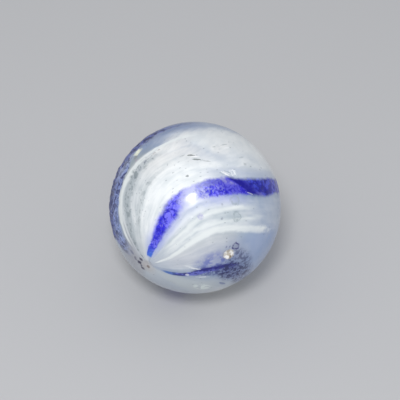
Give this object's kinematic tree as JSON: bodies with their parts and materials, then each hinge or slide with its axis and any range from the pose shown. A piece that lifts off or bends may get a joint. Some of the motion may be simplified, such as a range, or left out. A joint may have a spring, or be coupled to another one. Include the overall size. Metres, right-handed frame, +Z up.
{
  "type": "glass marble",
  "caption": "Solid glass toy marble with blue ribbons and milky white strands that twist from pole to pole.",
  "frame": {"origin": "centre of the ball", "axes": "+Z up from the seat, -Y to the swirl's front pole, +X to the right as the front pole is looked at"},
  "size_m": [0.016, 0.016, 0.016],
  "materials": {
    "swirled glass": "polished, milky, with coloured strands"
  },
  "bodies": {
    "root": {"marble": "swirled glass"}
  },
  "joints": []
}
